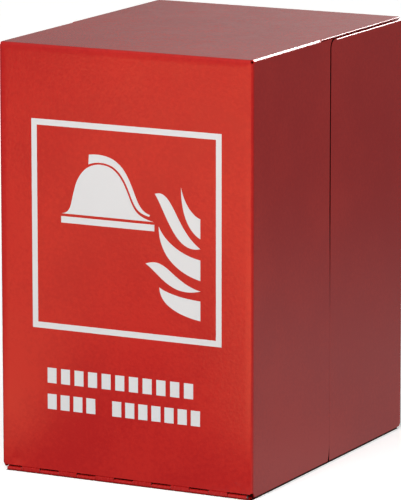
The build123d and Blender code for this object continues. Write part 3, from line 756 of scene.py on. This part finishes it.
# Painted shade: the cloth's colour darkens down to 0.72 in the weave's low parts, where the yarns dip under each
# other.
weave_hollow_shade = make("MapRange", {
    "Value": over.outputs[0], "From Min": -0.9, "From Max": 0.4, "To Min": 0.72, "To Max": 1.0,
})
shaded = make("VectorMath", {0: tint, 1: weave_hollow_shade.outputs["Result"]}, operation="MULTIPLY")


def inside_hem(make, place, length):
    """How far inside the hem's seam a point lies: (length / 2 - hem) - |place - length / 2|."""
    off = make("Math", {0: place, 1: length / 2}, operation="SUBTRACT")
    off = make("Math", {0: off.outputs[0]}, operation="ABSOLUTE")
    return make("Math", {0: length / 2 - HEM, 1: off.outputs[0]}, operation="SUBTRACT").outputs[0]


to_side = inside_hem(make, thread.outputs["X"], float(across_length[-1]))
to_end = inside_hem(make, thread.outputs["Y"], float(along_length[-1]))
to_seam = make("Math", {0: to_side, 1: to_end}, operation="MINIMUM")
on_seam = make("Math", {0: to_seam.outputs[0]}, operation="ABSOLUTE")
on_seam = make("Math", {0: on_seam.outputs[0], 1: STITCH_HALF_WIDTH}, operation="LESS_THAN")
dash = make("Math", {0: thread.outputs["X"], 1: thread.outputs["Y"]}, operation="ADD")
dash = make("Math", {0: dash.outputs[0], 1: STITCH_PITCH}, operation="FLOORED_MODULO")
dash = make("Math", {0: dash.outputs[0], 1: STITCH_SHARE * STITCH_PITCH}, operation="LESS_THAN")
stitch = make("Math", {0: on_seam.outputs[0], 1: dash.outputs[0]}, operation="MULTIPLY")
sewn = mix_colours(make, stitch.outputs[0], shaded.outputs[0], (0.10, 0.10, 0.11, 1.0))
dry = make("MapRange", {"Value": loft.outputs["Fac"], "To Min": 0.62, "To Max": 0.86})
glass = make("BsdfPrincipled", {
    "Base Color": sewn, "Roughness": dry.outputs["Result"], "Normal": weave.outputs["Normal"],
    "Sheen Weight": 0.25, "Sheen Roughness": 0.4,
})
make("OutputMaterial", {"Surface": glass.outputs[0]})
blanket.data.materials.append(cloth)
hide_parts("fire_blanket")
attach(blanket, "case")


# Pull straps: two loops of black 25 mm webbing, sewn to the blanket's free edge with a crossed box of stitches
# and hanging down its front. A strap is 0.31 m of webbing, folded in half round the loop at its lower end.
WEB_THICK = 0.0013
LOOP_DEPTH = 0.0026
LOOP_LONG = 0.045
WEB_STEPS = 10
LAYER_STEPS = 34
LOOP_STEPS = 13
WEB_SHARE = 0.985
SWAY, SWAY_WAVES, SWAY_SHIFT = 0.0006, 41.0, 90.0
PICK = 0.0012
WEB_CORD = 1.6 * PICK
BOX_HIGH = 0.024
BOX_WIDE = 0.019
STITCH_LONG = 0.0026
STITCH_GAP = 0.0008
BOX_DOWN = 0.005
THREAD = 0.00035
THREAD_END = 0.02


def loop_line(back, front, bottom, top):
    """Down the back layer, round a drop-shaped loop and up the front layer. The layers part towards the loop
    by depth (1 - cos) / 2, and the end of the loop is a half ellipse."""
    down = np.linspace(top, bottom + LOOP_DEPTH + WEB_THICK / 2, LAYER_STEPS)
    part = np.clip(1.0 - (down - bottom) / LOOP_LONG, 0.0, 1.0)
    swell = LOOP_DEPTH * (1 - np.cos(np.pi * part)) / 2
    back_y = np.full(len(down), back)
    front_y = front - swell
    middle, reach = (back_y[-1] + front_y[-1]) / 2, (back_y[-1] - front_y[-1]) / 2
    angle = np.linspace(0.0, np.pi, LOOP_STEPS)[1:-1]
    y = np.concatenate([back_y, middle + reach * np.cos(angle), front_y[::-1]])
    z = np.concatenate([down, down[-1] - LOOP_DEPTH * np.sin(angle), down[::-1]])
    return y, z


def webbing_strap(name, low, high):
    """A strip of webbing carried along the loop line, edge to edge across X. It sways sideways by a sine of its
    length."""
    y, z = loop_line(high.y - WEB_THICK / 2, low.y + WEB_THICK / 2, low.z, high.z)
    length = np.concatenate([[0.0], np.cumsum(np.hypot(np.diff(y), np.diff(z)))])
    aside = np.linspace(-1.0, 1.0, WEB_STEPS + 1)
    width = (high.x - low.x) / 2
    centre = (high.x + low.x) / 2
    sway = SWAY * np.sin(length * SWAY_WAVES + centre * SWAY_SHIFT)
    X = centre + width * aside[None] * WEB_SHARE + sway[:, None]
    Y = np.broadcast_to(y[:, None], X.shape)
    Z = np.broadcast_to(z[:, None], X.shape)
    lengths = np.stack([
        np.broadcast_to((aside * width)[None], X.shape), np.broadcast_to(length[:, None], X.shape),
    ], -1)
    strap = cloth_mesh(name, np.stack([X, Y, Z], -1), lengths)
    solidify(strap, WEB_THICK)
    return strap


def stitch_row(start, end):
    """Centres and directions of stitches of one row, evenly spaced from start to end."""
    line = np.asarray(end, float) - np.asarray(start, float)
    size = np.linalg.norm(line)
    count = max(int(size / (STITCH_LONG + STITCH_GAP)), 1)
    at = (np.arange(count) + 0.5) / count
    return np.asarray(start)[None] + at[:, None] * line[None], np.broadcast_to(line / size, (count, 3))


def stitches(name, rows, sides=6, rings=5):
    """Every stitch is a spindle: rings of radius r sin(pi t)^0.5 along its length, closed at both ends."""
    centres, ways = (np.concatenate(part) for part in zip(*rows))
    t = np.linspace(0.0, 1.0, rings)
    radius = THREAD * np.sqrt(np.clip(np.sin(np.pi * t), THREAD_END, 1.0))
    angle = np.linspace(0.0, 2 * np.pi, sides, endpoint=False)
    out = np.array([0.0, -1.0, 0.0])
    over = np.cross(ways, out)
    ring = (np.cos(angle)[:, None, None] * over[None] + np.sin(angle)[:, None, None] * out).transpose(1, 0, 2)
    points = centres[:, None, None] + ((t - 0.5) * STITCH_LONG)[None, :, None, None] * ways[:, None, None]
    points = points + radius[None, :, None, None] * ring[:, None]
    first = (np.arange(len(centres)) * rings * sides)[:, None, None]
    quads = grid_faces(rings, sides, closed=True, flipped=True)[None] + first
    quads = quads.reshape(-1, 4).tolist()
    low_cap = (np.arange(sides)[::-1][None] + first[:, 0]).tolist()
    high_cap = (np.arange(sides)[None] + (rings - 1) * sides + first[:, 0]).tolist()
    return placed(name, points, quads + low_cap + high_cap, smooth=False)


webbing, make = new_material("black_webbing")
chart = make("UVMap", uv_map="cloth").outputs[0]
thread = make("SeparateXYZ", {0: chart})
sloped = make("Math", {0: thread.outputs["X"]}, operation="ABSOLUTE")
sloped = make("Math", {0: sloped.outputs[0], 1: thread.outputs["Y"]}, operation="ADD")
ribs = make("Math", {0: sloped.outputs[0], 1: 2 * math.pi / PICK}, operation="MULTIPLY")
ribs = make("Math", {0: ribs.outputs[0]}, operation="SINE")
cords = make("Math", {0: thread.outputs["X"], 1: 2 * math.pi / WEB_CORD}, operation="MULTIPLY")
cords = make("Math", {0: cords.outputs[0]}, operation="SINE")
woven = make("Math", {0: ribs.outputs[0], 1: cords.outputs[0]}, operation="ADD")
fuzz = make("TexNoise", {"Vector": chart, "Scale": 1400.0, "Detail": 3.0})
relief = make("Math", {0: woven.outputs[0], 1: fuzz.outputs["Fac"]}, operation="ADD")
ridges = make("Bump", {"Height": relief.outputs[0], "Strength": 0.7, "Distance": 0.00016})
# Painted shade and highlight: the black is darker in the low parts of the ribs and cords and lighter on their tops.
shade = make("MapRange", {"Value": relief.outputs[0], "From Min": -1.5, "From Max": 2.5})
black = two_tones(make, shade.outputs["Result"], (0.010, 0.010, 0.012, 1.0), (0.055, 0.055, 0.060, 1.0))
soft = make("MapRange", {"Value": fuzz.outputs["Fac"], "To Min": 0.5, "To Max": 0.72})
nylon = make("BsdfPrincipled", {
    "Base Color": black, "Roughness": soft.outputs["Result"], "Normal": ridges.outputs["Normal"],
    "Sheen Weight": 0.15,
})
make("OutputMaterial", {"Surface": nylon.outputs[0]})

sewing, make = new_material("pale_sewing_thread")
twist = make("TexWave", {
    "Vector": make("TexCoord").outputs["Object"], "Scale": 900.0, "Distortion": 1.5,
}, bands_direction="DIAGONAL")
# Painted shade: the thread is darker in the grooves of its twist, from the same wave that presses them.
pale = two_tones(make, twist.outputs["Fac"], (0.42, 0.41, 0.38, 1.0), (0.66, 0.65, 0.61, 1.0))
lay = make("Bump", {"Height": twist.outputs["Fac"], "Strength": 0.5, "Distance": 0.00005})
waxed = make("MapRange", {"Value": twist.outputs["Fac"], "To Min": 0.45, "To Max": 0.65})
yarn = make("BsdfPrincipled", {
    "Base Color": pale, "Roughness": waxed.outputs["Result"], "Normal": lay.outputs["Normal"],
})
make("OutputMaterial", {"Surface": yarn.outputs[0]})

for side in ("left", "right"):
    low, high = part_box("pull_strap_" + side)
    strap = webbing_strap("webbing_" + side, low, high)
    strap.data.materials.append(webbing)
    middle = (low.x + high.x) / 2
    face = low.y
    x0, x1 = middle - BOX_WIDE / 2, middle + BOX_WIDE / 2
    z1 = high.z - BOX_DOWN
    z0 = z1 - BOX_HIGH
    corners = [(x0, face, z0), (x1, face, z0), (x1, face, z1), (x0, face, z1)]
    rows = [stitch_row(corners[i], corners[(i + 1) % 4]) for i in range(4)]
    rows += [stitch_row(corners[0], corners[2]), stitch_row(corners[1], corners[3])]
    sewn_box = stitches("stitching_" + side, rows)
    sewn_box.data.materials.append(sewing)
    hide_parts("pull_strap_" + side)
    for piece in (strap, sewn_box):
        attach(piece, "case")
